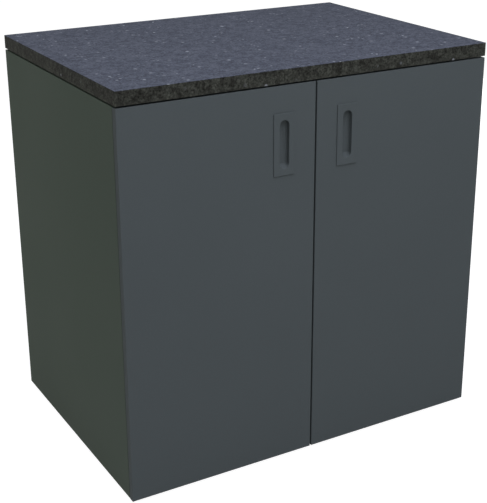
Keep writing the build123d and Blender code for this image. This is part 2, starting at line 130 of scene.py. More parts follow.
def add_node(
    tree: Tree,
    kind: str,
    settings: Mapping[Key, object] | None = None,
    links: Mapping[Key, Feed] | None = None,
) -> Node:
    """Add a node with its settings and links.

    Args:
        tree: The node tree that gets the node.
        kind: The node's type without its "ShaderNode" prefix, such as "TexNoise".
        settings: Values by name. A name or number of an input sets that input, any other name sets
            the node's own property.
        links: What feeds the node, by the name or number of the input that takes each: a socket, or a
            node that gives its first output.

    Returns:
        The new node.
    """
    node = tree.nodes.new(f"ShaderNode{kind}")
    properties = {key: value for key, value in (settings or {}).items() if hasattr(node, str(key))}
    for key, value in properties.items():
        setattr(node, key, value)
    for key, value in (settings or {}).items():
        if key not in properties:
            node.inputs[key].default_value = value
    for key, feed in (links or {}).items():
        tree.links.new(feed.outputs[0] if isinstance(feed, Node) else feed, node.inputs[key])
    return node


@dataclass(frozen=True)
class Look:
    """What a pattern gives to a shader: its colour, its roughness and the height of its relief."""

    colour: Feed
    roughness: Feed
    height: Feed


@dataclass(frozen=True)
class Finish:
    """A surface finish. Each kind draws its own pattern in dress().

    The relief is in millimetres, and the strength says how much of its shading shows.
    """

    name: str
    metallic: float = 0.0
    specular: float = 0.5
    relief: float = 0.05
    relief_strength: float = 0.25

    def material(self) -> bpy.types.Material:
        """The finish as a material, made once and then shared.

        Returns:
            The material.
        """
        known = bpy.data.materials.get(self.name)
        if known is not None:
            return known
        material = bpy.data.materials.new(self.name)
        material.use_nodes = True
        tree = material.node_tree
        tree.nodes.clear()
        here = add_node(tree, "TexCoord").outputs
        to_mm = {"operation": "SCALE", "Scale": 1 / MM}
        place = add_node(tree, "VectorMath", to_mm, {0: here["Object"]})
        look = self.dress(tree, place.outputs["Vector"], here["Normal"])
        bump = add_node(
            tree,
            "Bump",
            {"Strength": self.relief_strength, "Distance": self.relief * MM},
            {"Height": look.height},
        )
        shader = add_node(
            tree,
            "BsdfPrincipled",
            {"Metallic": self.metallic, "Specular IOR Level": self.specular},
            {"Base Color": look.colour, "Roughness": look.roughness, "Normal": bump},
        )
        add_node(tree, "OutputMaterial", links={"Surface": shader})
        return material

    def dress(self, tree: Tree, place: Socket, normal: Socket) -> Look:
        """Draw the finish's pattern.

        Args:
            tree: The material's node tree.
            place: Object coordinates in millimetres.
            normal: The surface normal in the piece's own frame.

        Returns:
            What the pattern gives to the shader.
        """
        raise NotImplementedError


@dataclass(frozen=True)
class CompactLaminate(Finish):
    """High-pressure compact laminate, coloured all through, pressed between fine-textured plates.

    The eye sees a flat, matt, even colour. Close up the faces have a fine pearl texture, and the
    edges show the straight marks of the cutter that sized the board. The real pearls are about half
    a millimetre apart, which is too fine to show, so they are drawn coarser.
    """

    colour: str = "#474c50"
    thin: Axis = Axis.Y
    pigment_pitch: float = 0.9
    pigment_shade: Span = (0.94, 1.06)
    cloud_pitch: float = 260.0
    cloud_shade: Span = (0.985, 1.015)
    edge_shade: float = 0.95
    pearl_pitch: float = 1.5
    cutter_pitch: float = 1.1
    relief_strength: float = 0.22
    roughness: Span = (0.59, 0.65)
    specular: float = 0.03

    def dress(self, tree: Tree, place: Socket, normal: Socket) -> Look:
        """Draw pearl texture on the faces, cutter marks on the edges and faint pigment grain.

        Args:
            tree: The material's node tree.
            place: Object coordinates in millimetres.
            normal: The surface normal in the piece's own frame.

        Returns:
            What the pattern gives to the shader.
        """
        axes = add_node(tree, "SeparateXYZ", links={"Vector": normal})
        facing = add_node(tree, "Math", {"operation": "ABSOLUTE"}, {0: axes.outputs[self.thin.value]})
        face = add_node(tree, "Math", {"operation": "GREATER_THAN", 1: FACING}, {0: facing})
        pigment = add_node(
            tree,
            "TexNoise",
            {"Scale": 1 / self.pigment_pitch, "Detail": 2.0, "Roughness": 0.6},
            {"Vector": place},
        )
        cloud = add_node(
            tree,
            "TexNoise",
            {"Scale": 1 / self.cloud_pitch, "Detail": 3.0, "Roughness": 0.5},
            {"Vector": place},
        )
        share = add_node(tree, "MapRange", {"To Min": self.edge_shade, "To Max": 1.0}, {"Value": face})
        for noise, (dark, bright) in ((pigment, self.pigment_shade), (cloud, self.cloud_shade)):
            shade = add_node(
                tree, "MapRange", {**NOISE_SPAN, "To Min": dark, "To Max": bright}, {"Value": noise}
            )
            share = add_node(tree, "Math", {"operation": "MULTIPLY"}, {0: share, 1: shade})
        colour = add_node(
            tree, "VectorMath", {"operation": "SCALE", 0: linear(self.colour)[:3]}, {"Scale": share}
        )
        pearl = add_node(
            tree,
            "TexVoronoi",
            {"feature": "SMOOTH_F1", "Scale": 1 / self.pearl_pitch, "Smoothness": 0.7},
            {"Vector": place},
        )
        cutter_scale = math.tau / WAVE_RATE / self.cutter_pitch
        cutter = add_node(
            tree,
            "TexWave",
            {"bands_direction": "DIAGONAL", "Scale": cutter_scale, "Distortion": 1.2, "Detail": 1.0},
            {"Vector": place},
        )
        height = add_node(
            tree,
            "Mix",
            {"data_type": "FLOAT"},
            {0: face, NUMBER_A: cutter.outputs["Fac"], NUMBER_B: pearl.outputs["Distance"]},
        )
        smooth, rough = self.roughness
        gloss = add_node(
            tree, "MapRange", {**NOISE_SPAN, "To Min": smooth, "To Max": rough}, {"Value": cloud}
        )
        return Look(colour, gloss, height)


@dataclass(frozen=True)
class PaleCrystals:
    """Pale crystals in stone: soft-edged spots about the middle of some of a pattern's cells.

    A cell's own random colour says whether it has a spot, how large that is and how bright. The
    brightness is a power of its random number, so that only a few spots are bright.
    """

    pitch: float
    radius: float
    rarity: float
    smallest_share: float = 0.35
    solid_share: float = 0.6
    dimming: float = 3.5
    faintest: float = 0.08

    def draw(self, tree: Tree, place: Socket) -> Node:
        """Draw the crystals.

        Args:
            tree: The material's node tree.
            place: Coordinates in millimetres.

        Returns:
            How strongly their colour shows, from zero to one.
        """
        cells = add_node(tree, "TexVoronoi", {"Scale": 1 / self.pitch}, {"Vector": place})
        luck = add_node(tree, "SeparateColor", links={"Color": cells.outputs["Color"]}).outputs
        chosen = add_node(tree, "Math", {"operation": "GREATER_THAN", 1: self.rarity}, {0: luck["Red"]})
        largest = self.radius / self.pitch
        sizes = {"To Min": self.smallest_share * largest, "To Max": largest}
        reach = add_node(tree, "MapRange", sizes, {"Value": luck["Green"]})
        away = add_node(tree, "Math", {"operation": "DIVIDE"}, {0: cells.outputs["Distance"], 1: reach})
        fade = {"From Min": self.solid_share, "From Max": 1.0, "To Min": 1.0, "To Max": 0.0}
        inside = add_node(tree, "MapRange", fade, {"Value": away})
        rare = add_node(tree, "Math", {"operation": "POWER", 1: self.dimming}, {0: luck["Blue"]})
        strength = add_node(tree, "MapRange", {"To Min": self.faintest, "To Max": 1.0}, {"Value": rare})
        spot = add_node(tree, "Math", {"operation": "MULTIPLY"}, {0: inside, 1: chosen})
        return add_node(tree, "Math", {"operation": "MULTIPLY"}, {0: spot, 1: strength})


@dataclass(frozen=True)
class HonedGranite(Finish):
    """Dark granite: a honed top face, and edges polished after the slab was cut.

    The top face is painted lighter and bluer than the edges: a painted sheen, the look of cool light
    from above on the stone. The polished edges show the body of the stone, dark brown with olive
    patches. Both have fine crystals, soft clouds, single pale crystals and here and there a small swarm
    of them.
    """

    # The top face's colours hold a painted sheen of cool light from above; the edge colours are the
    # stone's own body
    sheen_face_colour: str = "#3c3f47"
    sheen_face_patch_colour: str = "#4b4e56"
    face_contrast: float = 0.52
    face_roughness: float = 0.62
    edge_colour: str = "#262622"
    edge_patch_colour: str = "#393a34"
    edge_contrast: float = 0.8
    edge_roughness: float = 0.45
    crystal_pitch: float = 4.2
    patch_pitch: float = 14.0
    patch_span: Span = (0.38, 0.62)
    pale_colour: str = "#d2d6da"
    pale_on_edge: float = 0.22
    singles: PaleCrystals = PaleCrystals(pitch=12.0, radius=5.6, rarity=0.92)
    swarm: PaleCrystals = PaleCrystals(pitch=9.0, radius=4.2, rarity=0.5)
    swarm_spacing: float = 50.0
    swarm_span: Span = (0.58, 0.66)
    raggedness: float = 2.4
    relief: float = 0.08
    specular: float = 0.008

    def pale_share(self, tree: Tree, place: Socket, crystal: Node, face: Node) -> Node:
        """Draw the single pale crystals and the swarms, with outlines made ragged by the fine grain.

        Args:
            tree: The material's node tree.
            place: Object coordinates in millimetres.
            crystal: The noise of the fine grain.
            face: One on the honed face, zero on the edges.

        Returns:
            How strongly the pale colour shows, from zero to one.
        """
        ragged = add_node(
            tree,
            "VectorMath",
            {"operation": "MULTIPLY_ADD", 1: [self.raggedness] * 3},
            {0: crystal.outputs["Color"], 2: place},
        ).outputs["Vector"]
        drift = add_node(
            tree, "TexNoise", {"Scale": 1 / self.swarm_spacing, "Detail": 2.0}, {"Vector": place}
        )
        low, high = self.swarm_span
        gathered = add_node(tree, "MapRange", {"From Min": low, "From Max": high}, {"Value": drift})
        swarm = self.swarm.draw(tree, ragged)
        swarms = add_node(tree, "Math", {"operation": "MULTIPLY"}, {0: swarm, 1: gathered})
        singles = self.singles.draw(tree, ragged)
        pale = add_node(tree, "Math", {"operation": "MAXIMUM"}, {0: singles, 1: swarms})
        clear = add_node(tree, "MapRange", {"To Min": self.pale_on_edge, "To Max": 1.0}, {"Value": face})
        return add_node(tree, "Math", {"operation": "MULTIPLY"}, {0: pale, 1: clear})

    def dress(self, tree: Tree, place: Socket, normal: Socket) -> Look:
        """Draw grain, patches and pale crystals, a painted sheen on the top face, darker polished edges.

        Args:
            tree: The material's node tree.
            place: Object coordinates in millimetres.
            normal: The surface normal in the piece's own frame.

        Returns:
            What the pattern gives to the shader.
        """
        axes = add_node(tree, "SeparateXYZ", links={"Vector": normal})
        face = add_node(tree, "Math", {"operation": "GREATER_THAN", 1: FACING}, {0: axes.outputs["Z"]})
        crystal = add_node(
            tree,
            "TexNoise",
            {"Scale": 1 / self.crystal_pitch, "Detail": 4.0, "Roughness": 0.75},
            {"Vector": place},
        )
        mottle = add_node(
            tree,
            "TexNoise",
            {"Scale": 1 / self.patch_pitch, "Detail": 3.0, "Roughness": 0.6, "Distortion": 0.5},
            {"Vector": place},
        )
        low, high = self.patch_span
        patches = add_node(tree, "MapRange", {"From Min": low, "From Max": high}, {"Value": mottle})
        # The top face's body colour carries the painted sheen
        edge_body, sheen_face_body = (
            add_node(
                tree,
                "Mix",
                {"data_type": "RGBA", COLOUR_A: linear(ground), COLOUR_B: linear(patch)},
                {0: patches},
            ).outputs[MIXED_COLOUR]
            for ground, patch in (
                (self.edge_colour, self.edge_patch_colour),
                (self.sheen_face_colour, self.sheen_face_patch_colour),
            )
        )
        body = add_node(
            tree, "Mix", {"data_type": "RGBA"}, {0: face, COLOUR_A: edge_body, COLOUR_B: sheen_face_body}
        )
        contrast, gloss = (
            add_node(tree, "Mix", {"data_type": "FLOAT", NUMBER_A: edge, NUMBER_B: top}, {0: face})
            for edge, top in (
                (self.edge_contrast, self.face_contrast),
                (self.edge_roughness, self.face_roughness),
            )
        )
        grain = add_node(
            tree, "MapRange", {**NOISE_SPAN, "To Min": -1.0, "To Max": 1.0}, {"Value": crystal}
        )
        shade = add_node(tree, "Math", {"operation": "MULTIPLY_ADD", 2: 1.0}, {0: grain, 1: contrast})
        shaded = add_node(
            tree, "VectorMath", {"operation": "SCALE"}, {0: body.outputs[MIXED_COLOUR], "Scale": shade}
        )
        colour = add_node(
            tree,
            "Mix",
            {"data_type": "RGBA", COLOUR_B: linear(self.pale_colour)},
            {0: self.pale_share(tree, place, crystal, face), COLOUR_A: shaded},
        )
        return Look(colour.outputs[MIXED_COLOUR], gloss, crystal)


@dataclass(frozen=True)
class PlatedSteel(Finish):
    """Pressed or drawn metal under a thin plating, with the fine lines of its rolling.

    The eye sees a clean grey metal, soft in its reflections, with faint streaks along the strip.
    Real rolling lines are under a tenth of a millimetre wide. They are drawn wider, so that they show.
    """

    colour: str = "#b9b6b0"
    roughness: float = 0.3
    smoother_by: float = 0.06
    rougher_by: float = 0.08
    line_pitch: float = 0.35
    line_length: float = 14.0
    line_noise: Span = (0.25, 0.75)
    line_shade: Span = (0.93, 1.05)
    along: Axis = Axis.Z
    metallic: float = 1.0
    relief: float = 0.02
    relief_strength: float = 0.15

    def dress(self, tree: Tree, place: Socket, normal: Socket) -> Look:
        """Draw rolling lines in the colour, the roughness and the height.

        Args:
            tree: The material's node tree.
            place: Object coordinates in millimetres.
            normal: Not used.

        Returns:
            What the pattern gives to the shader.
        """
        stretch = [1 / self.line_pitch] * 3
        stretch[self.along.value] = 1 / self.line_length
        stretched = add_node(tree, "VectorMath", {"operation": "MULTIPLY", 1: stretch}, {0: place})
        lines = add_node(
            tree, "TexNoise", {"Scale": 1.0, "Detail": 2.0, "Roughness": 0.5}, {"Vector": stretched}
        )
        smooth, rough = self.roughness - self.smoother_by, self.roughness + self.rougher_by
        gloss = add_node(
            tree, "MapRange", {**NOISE_SPAN, "To Min": smooth, "To Max": rough}, {"Value": lines}
        )
        (quiet, strong), (dark, bright) = self.line_noise, self.line_shade
        spans = {"From Min": quiet, "From Max": strong, "To Min": dark, "To Max": bright}
        shade = add_node(tree, "MapRange", spans, {"Value": lines})
        colour = add_node(
            tree, "VectorMath", {"operation": "SCALE", 0: linear(self.colour)[:3]}, {"Scale": shade}
        )
        return Look(colour, gloss, lines)


@dataclass(frozen=True)
class MouldedPlastic(Finish):
    """Plastic or rubber from a spark-eroded mould, whose fine grain takes the gloss off it.

    The eye sees a dull, even, dark surface with no clear reflection. The real grain is about a tenth
    of a millimetre, which is too fine to show, so it is drawn coarser.
    """

    colour: str = "#1c1d1e"
    grain_pitch: float = 0.9
    grain_shade: Span = (0.95, 1.05)
    cloud_pitch: float = 36.0
    roughness: float = 0.5
    roughness_play: float = 0.05
    relief: float = 0.03
    relief_strength: float = 0.3
    specular: float = 0.35

    def dress(self, tree: Tree, place: Socket, normal: Socket) -> Look:
        """Draw the mould's grain in the colour and the height, and slow variation in the gloss.

        Args:
            tree: The material's node tree.
            place: Object coordinates in millimetres.
            normal: Not used.

        Returns:
            What the pattern gives to the shader.
        """
        grain = add_node(
            tree,
            "TexNoise",
            {"Scale": 1 / self.grain_pitch, "Detail": 2.0, "Roughness": 0.55},
            {"Vector": place},
        )
        cloud = add_node(
            tree, "TexNoise", {"Scale": 1 / self.cloud_pitch, "Detail": 2.0}, {"Vector": place}
        )
        dark, bright = self.grain_shade
        shade = add_node(
            tree, "MapRange", {**NOISE_SPAN, "To Min": dark, "To Max": bright}, {"Value": grain}
        )
        colour = add_node(
            tree, "VectorMath", {"operation": "SCALE", 0: linear(self.colour)[:3]}, {"Scale": shade}
        )
        smooth, rough = self.roughness - self.roughness_play, self.roughness + self.roughness_play
        gloss = add_node(
            tree, "MapRange", {**NOISE_SPAN, "To Min": smooth, "To Max": rough}, {"Value": cloud}
        )
        return Look(colour, gloss, grain)


def laminate(thin: Axis, part: str, colour: str) -> CompactLaminate:
    """The laminate of a board that is thin in one direction."""
    return CompactLaminate(f"compact_laminate_{part}_{thin.name.lower()}", colour=colour, thin=thin)


DOOR_COLOUR = "#474c4c"
# The carcass boards are the door's laminate painted darker and greener: painted shade and a painted
# green tint of the light on the left side
CARCASS_SHADED_COLOUR = "#434b42"
GRANITE = HonedGranite("honed_granite")
# Nickel plating is pale and a little warm, and zinc plating bluish and a little brighter in its gloss
NICKEL = PlatedSteel("nickel_plated_steel", colour="#c9c6bf", roughness=0.4)
ZINC = PlatedSteel("zinc_plated_steel", colour="#a7abb0", roughness=0.36, line_length=4.0)
# Drawn stainless steel is an even light grey with short lines, and anodised aluminium soft and whitish
STAINLESS = PlatedSteel("stainless_steel", colour="#bdbcb9", roughness=0.4, line_length=3.0)
ALUMINIUM = PlatedSteel("anodised_aluminium", colour="#b4b6b8", roughness=0.42)
# The pull is coloured like its door, and the foot is plain black polyamide with a little sheen
PULL_PLASTIC = MouldedPlastic("moulded_abs_pull", colour="#474c4c", roughness=0.6, specular=0.03)
FOOT_PLASTIC = MouldedPlastic("moulded_polyamide_foot", colour="#17181a")
# Rubber is black with almost no sheen
RUBBER = MouldedPlastic("epdm_rubber", colour="#141414", roughness=0.75, specular=0.2)


def dress_node(name: str, finish: Finish) -> None:
    """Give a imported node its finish.

    Args:
        name: The node's name.
        finish: What its surface is.
    """
    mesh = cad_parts[name].data
    mesh.materials.clear()
    mesh.materials.append(finish.material())
    LOG.info("%s: %s", name, finish.name)


def grid_quads(rows: int, columns: int) -> np.ndarray:
    """Quads between the rows of a grid whose columns close into a ring.

    The quad of row i and column j joins the points (i, j), (i, j + 1), (i + 1, j + 1), (i + 1, j),
    where the column after the last is the first.

    Args:
        rows: How many rows of points.
        columns: How many points in a row.

    Returns:
        One row of four point numbers for each quad.
    """
    row, column = np.meshgrid(np.arange(rows - 1), np.arange(columns), indexing="ij")
    following = (column + 1) % columns
    here, above = row * columns, (row + 1) * columns
    quads = np.stack([here + column, here + following, above + following, above + column], axis=-1)
    return quads.reshape(-1, 4)


def lathe(radii: np.ndarray, heights: np.ndarray) -> Mesh:
    """A closed shell of rings about the Z axis, capped at both ends by a point on the axis.

    Point (i, j) lies at radius radii[i, j] and height heights[i, j], at j parts of a full turn.

    Args:
        radii: Rings by columns of radii, in millimetres.
        heights: Rings by columns of heights, in millimetres, from the bottom to the top.

    Returns:
        The points in metres and the faces, which point outwards.
    """
    rings, columns = radii.shape
    turn = np.arange(columns) * math.tau / columns
    points = np.stack([radii * np.cos(turn), radii * np.sin(turn), heights], axis=-1).reshape(-1, 3)
    caps = np.array([[0, 0, heights[0].mean()], [0, 0, heights[-1].mean()]])
    column = np.arange(columns)
    following = (column + 1) % columns
    low_cap, high_cap = rings * columns, rings * columns + 1
    last = (rings - 1) * columns
    bottom = np.stack([following, column, np.full(columns, low_cap)], axis=-1)
    top = np.stack([last + column, last + following, np.full(columns, high_cap)], axis=-1)
    faces = [tuple(face) for part in (grid_quads(rings, columns), bottom, top) for face in part.tolist()]
    return np.concatenate([points, caps]) * MM, faces


def add_piece(
    name: str, mesh: Mesh, finish: Finish, body: str, sharp_deg: float = 35.0
) -> bpy.types.Object:
    """Put a mesh into the scene as a piece that rides on a body.

    Args:
        name: The piece's name.
        mesh: Its points and faces, in place in the model's frame.
        finish: What its surface is.
        body: The body it moves with.
        sharp_deg: Edges that bend by more than this stay sharp.

    Returns:
        The new object.
    """
    points, faces = mesh
    data = bpy.data.meshes.new(name)
    data.from_pydata(points.tolist(), [], faces)
    data.shade_smooth()
    data.set_sharp_from_angle(angle=math.radians(sharp_deg))
    data.materials.append(finish.material())
    data.update()
    piece = bpy.data.objects.new(name, data)
    bpy.context.scene.collection.objects.link(piece)
    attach(piece, body)
    LOG.info("%s: %d faces, rides on %s", name, len(faces), body)
    return piece


def join(meshes: Sequence[Mesh]) -> Mesh:
    """Several meshes as one.

    Args:
        meshes: Points and faces of each.

    Returns:
        All points, and all faces with their point numbers moved on.
    """
    starts = np.cumsum([0] + [len(points) for points, _ in meshes[:-1]])
    faces = [
        tuple(int(corner + start) for corner in face)
        for start, (_, part) in zip(starts, meshes)
        for face in part
    ]
    return np.concatenate([points for points, _ in meshes]), faces


def solids_of(node: str) -> list[np.ndarray]:
    """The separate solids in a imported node.

    Points that share a triangle get the lowest label among them, again and again, until each
    connected group has one label.

    Args:
        node: The node's name.

    Returns:
        The points of each solid, in metres.
    """
    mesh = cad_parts[node].data
    points = np.empty(len(mesh.vertices) * 3)
    mesh.vertices.foreach_get("co", points)
    corners = np.empty(len(mesh.loops), dtype=np.int64)
    mesh.loops.foreach_get("vertex_index", corners)
    rounded = points.reshape(-1, 3).round(SAME_PLACE_DECIMALS)
    places, same = np.unique(rounded, axis=0, return_inverse=True)
    triangles = same.ravel()[corners].reshape(-1, 3)
    label = np.arange(len(places))
    while True:
        lowest = label[triangles].min(axis=1)
        if (label[triangles] == lowest[:, None]).all():
            return [places[label == group] for group in np.unique(label)]
        np.minimum.at(label, triangles.ravel(), np.repeat(lowest, 3))


@dataclass(frozen=True)
class PanScrew:
    """A pan head screw with a cross recess, drawn over a packed screw.

    The head is a dome on a square grid that is wrapped to a disc: a point (u, v) of the square goes to
    u * sqrt(1 - v^2 / 2), v * sqrt(1 - u^2 / 2). The recess is cut by lowering the points whose u or
    v lies within the cross's arms. All sizes are shares of the head's radius or of its height.
    """

    dome: float = 0.35
    arm_reach: float = 0.62
    arm_half_width: float = 0.13
    wall: float = 0.03
    recess_depth: float = 0.75
    recess_rise: float = 0.55
    rim_start: float = 0.9
    rim_drop: float = 0.12
    outer_lines: tuple[float, ...] = (0.82, 0.93, 1.0)

    def head(self, radius: float, height: float) -> tuple[np.ndarray, np.ndarray]:
        """The top of the head on a square grid, whose lines are close at the walls of the recess.

        Args:
            radius: The head's radius.
            height: The height of the dome's middle over the bearing face.

        Returns:
            The grid of points, and the numbers of the points round its border, in order.
        """
        half = [
            self.arm_half_width,
            self.arm_half_width + self.wall,
            (self.arm_half_width + self.arm_reach) / 2,
            self.arm_reach,
            self.arm_reach + self.wall,
            *self.outer_lines,
        ]
        line = np.array([-x for x in reversed(half)] + half)
        u, v = np.meshgrid(line, line, indexing="ij")
        x, y = u * np.sqrt(1 - v * v / 2), v * np.sqrt(1 - u * u / 2)
        across, along = np.minimum(abs(u), abs(v)), np.maximum(abs(u), abs(v))
        reach = np.hypot(x, y)
        crown = height * (1 - self.dome * reach**2)
        rim = height * self.rim_drop * np.clip((reach - self.rim_start) / (1 - self.rim_start), 0, 1)
        half_wall = self.wall / 2
        within = (across < self.arm_half_width + half_wall) & (along < self.arm_reach + half_wall)
        slope = 1 - self.recess_rise * along / self.arm_reach
        z = crown - rim - np.where(within, self.recess_depth * height * slope, 0)
        points = np.stack([x * radius, y * radius, z], axis=-1).reshape(-1, 3)
        number = np.arange(len(points)).reshape(z.shape)
        border = np.concatenate([number[:-1, 0], number[-1, :-1], number[:0:-1, -1], number[0, :0:-1]])
        return points, border

    def about_axis(self, radius: float, height: float, shank: float, length: float) -> Mesh:
        """The whole screw about the Z axis, with its bearing face at zero.

        The head's border goes straight down to the bearing face, in to the shank and down to the tip.

        Args:
            radius: The head's radius.
            height: The head's height.
            shank: The shank's radius.
            length: The shank's length.

        Returns:
            Its points in millimetres and its faces.
        """
        points, border = self.head(radius, height)
        under_head = points[border] * (1, 1, 0)
        neck = under_head * (shank / radius)
        rings = [under_head, neck, neck - (0, 0, length)]
        count = math.isqrt(len(points))
        i, j = np.meshgrid(np.arange(count - 1), np.arange(count - 1), indexing="ij")
        first = (i * count + j).ravel()
        cap = np.stack([first, first + count, first + count + 1, first + 1], axis=-1)
        around = np.arange(len(border))
        loops = [border] + [len(points) + step * len(border) + around for step in range(len(rings))]
        skirt = [
            np.stack([upper, lower, np.roll(lower, -1), np.roll(upper, -1)], axis=-1)
            for upper, lower in zip(loops, loops[1:])
        ]
        faces = [tuple(face) for part in [cap, *skirt] for face in part.tolist()]
        faces.append(tuple(loops[-1][::-1].tolist()))
        return np.concatenate([points, *rings]), faces

    def mesh(self, solid: np.ndarray) -> Mesh:
        """The screw over one packed screw.

        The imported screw's axis is its longest side, and its head is the end that is wider. Depths
        are counted towards the head.

        Args:
            solid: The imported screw's points, in metres.

        Returns:
            Its points and faces, in place.
        """
        low, high = solid.min(axis=0), solid.max(axis=0)
        axis = int(np.argmax(high - low))
        centre = (low + high) / 2
        distance = np.linalg.norm(np.delete(solid - centre, axis, axis=1), axis=1)
        radius, shank = distance.max(), distance[distance > ON_AXIS].min()
        wide = distance > (radius + shank) / 2
        headwards = 1 if solid[wide, axis].mean() > centre[axis] else -1
        depths = headwards * solid[:, axis]
        top, bearing, tip = depths[wide].max(), depths[wide].min(), depths.min()
        sizes = np.array([radius, top - bearing, shank, bearing - tip]) / MM
        points, faces = self.about_axis(*sizes)
        local = points * MM
        first_side, second_side = (axis + 1) % 3, (axis + 2) % 3
        placed = np.zeros_like(local)
        placed[:, axis] = headwards * (bearing + local[:, 2])
        placed[:, first_side] = centre[first_side] + local[:, 0]
        placed[:, second_side] = centre[second_side] + headwards * local[:, 1]
        return placed, faces


@dataclass(frozen=True)
class Screws:
    """A packed group of screws, shown as pan head screws with a cross recess."""

    node: str
    body: str
    finish: Finish = STAINLESS
    pattern: PanScrew = PanScrew()

    def build(self) -> None:
        """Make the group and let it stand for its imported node."""
        mesh = join([self.pattern.mesh(solid) for solid in solids_of(self.node)])
        piece = add_piece(f"{self.node}_pan_head", mesh, self.finish, self.body)
        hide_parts(self.node)


@dataclass(frozen=True)
class LevellingFoot:
    """A levelling foot: a moulded base with a hexagon for the spanner, on a threaded stud."""

    row: Row
    side: Side
    edge_round: float = 1.2
    edge_points: int = 5
    base_height: float = 4.5
    middle_radius: float = 1.0
    pocket_inner: float = 7.5
    pocket_outer: float = 17.0
    pocket_depth: float = 1.6
    pocket_draft: float = 0.15
    ribs: int = 8
    rib_half_width: float = 0.9
    hexagon_corner: float = 9.0
    hexagon_top: float = 7.7
    hexagon_foot: float = 0.5
    hexagon_chamfer: float = 0.4
    stud_radius: float = 4.95
    stud_gap: float = 0.3
    stud_sunk: float = 0.5
    stud_chamfer: float = 0.8
    stud_sharp_deg: float = 60.0
    thread_depth: float = 0.75
    thread_pitch: float = 1.5
    thread_steepness: float = 1.25
    thread_crest: float = 0.1
    base_columns: int = 96
    stud_columns: int = 36
    rows_per_pitch: int = 8

    @property
    def node(self) -> str:
        """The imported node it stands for."""
        return f"foot_{self.row.value}_{self.side.value}"

    def base(self, radius: float) -> Mesh:
        """The moulded base, about the Z axis.

        Rings run from the middle of the underside out to the rim, up round the edge and in to the
        hexagon, whose radius is its half width over the cosine of the angle from the nearest flat's
        middle. The underside is raised between the ribs.

        Args:
            radius: The base's radius.

        Returns:
            Its points and faces.
        """
        turn = np.arange(self.base_columns) * math.tau / self.base_columns
        sixth = math.tau / 6
        off_flat = np.mod(turn, sixth) - sixth / 2
        hexagon = self.hexagon_corner * math.cos(sixth / 2) / np.cos(off_flat)
        spoke = np.mod(turn, math.tau / self.ribs)
        off_rib = np.minimum(spoke, math.tau / self.ribs - spoke)
        under = [
            (self.middle_radius, 0.0),
            (self.pocket_inner, 0.0),
            (self.pocket_inner + self.pocket_draft, self.pocket_depth),
            ((self.pocket_inner + self.pocket_outer) / 2, self.pocket_depth),
            (self.pocket_outer - self.pocket_draft, self.pocket_depth),
            (self.pocket_outer, 0.0),
        ]
        arc = np.linspace(0, math.pi / 2, self.edge_points)
        falling, rising = self.edge_round * (1 - np.sin(arc)), self.edge_round * (1 - np.cos(arc))
        lower_edge = np.stack([radius - falling, rising], axis=-1)
        upper_edge = np.stack([radius - rising, self.base_height - falling], axis=-1)
        outline = np.concatenate([under, lower_edge, upper_edge])
        radii = np.repeat(outline[:, :1], self.base_columns, axis=1)
        heights = np.repeat(outline[:, 1:], self.base_columns, axis=1)
        on_rib = radii * np.sin(off_rib) < self.rib_half_width
        raised = (heights > 0) & (np.arange(len(outline)) < len(under))[:, None]
        heights = np.where(on_rib & raised, 0.0, heights)
        collar = [
            (hexagon + self.hexagon_foot, self.base_height),
            (hexagon, self.base_height + self.hexagon_foot),
            (hexagon, self.hexagon_top - self.hexagon_chamfer),
            (hexagon - self.hexagon_chamfer, self.hexagon_top),
            (np.full_like(hexagon, self.stud_radius + self.stud_gap), self.hexagon_top),
        ]
        radii = np.concatenate([radii] + [ring[None] for ring, _ in collar])
        heights = np.concatenate([heights] + [np.full((1, self.base_columns), z) for _, z in collar])
        return lathe(radii, heights)

    def stud(self, bottom: float, top: float) -> Mesh:
        """The threaded stud, about the Z axis.

        The radius falls from the crest by the thread's depth times a triangle wave of the height in
        pitches less the angle in turns, which makes a right-hand helix. The wave is made steeper and
        cut off, so that crest and root have flats. A chamfer limits the radius at both ends.

        Args:
            bottom: Height of its lower end.
            top: Height of its upper end.

        Returns:
            Its points and faces.
        """
        rows = int((top - bottom) / self.thread_pitch * self.rows_per_pitch)
        heights = np.linspace(bottom, top, rows)[:, None] + np.zeros((1, self.stud_columns))
        turns = np.arange(self.stud_columns)[None] / self.stud_columns
        phase = np.mod(heights / self.thread_pitch - turns, 1.0)
        wave = np.clip(self.thread_steepness * (1 - abs(2 * phase - 1)) - self.thread_crest, 0, 1)
        ends = np.minimum(heights - bottom, top - heights) / self.stud_chamfer
        radii = self.stud_radius - self.thread_depth * wave
        limit = self.stud_radius - self.stud_chamfer * (1 - np.clip(ends, 0, 1))
        return lathe(np.minimum(radii, limit), heights)

    def build(self) -> None:
        """Make the base and the stud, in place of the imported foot."""
        low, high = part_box(self.node)
        centre = np.array([(low.x + high.x) / 2, (low.y + high.y) / 2, 0.0])
        points, faces = self.base((high.x - low.x) / 2 / MM)
        base = add_piece(f"{self.node}_base", (points + centre, faces), FOOT_PLASTIC, self.node)
        points, faces = self.stud(self.hexagon_top - self.stud_sunk, high.z / MM)
        placed = (points + centre, faces)
        stud = add_piece(f"{self.node}_stud", placed, ZINC, self.node, self.stud_sharp_deg)
        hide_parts(self.node)


def rounded_ring(
    half_width: float, half_height: float, upper_radius: float, lower_radius: float, quarter_points: int
) -> np.ndarray:
    """Points round a rectangle with rounded corners, the same number at each corner.

    A corner's centre lies one radius in from both sides, and its points lie on a quarter circle.

    Args:
        half_width: Half the rectangle's width.
        half_height: Half its height.
        upper_radius: The radius of the two upper corners.
        lower_radius: The radius of the two lower corners.
        quarter_points: How many points are on each corner's quarter circle.

    Returns:
        One row of two coordinates for each point, anticlockwise from the right-hand side.
    """
    quarter = np.repeat(np.arange(4), quarter_points)
    radius = np.where(quarter < 2, upper_radius, lower_radius)
    angle = (quarter + np.tile(np.linspace(0, 1, quarter_points), 4)) * math.pi / 2
    across = np.where((quarter == 0) | (quarter == 3), 1, -1) * (half_width - radius)
    up = np.where(quarter < 2, 1, -1) * (half_height - radius)
    return np.stack([across + radius * np.cos(angle), up + radius * np.sin(angle)], axis=-1)


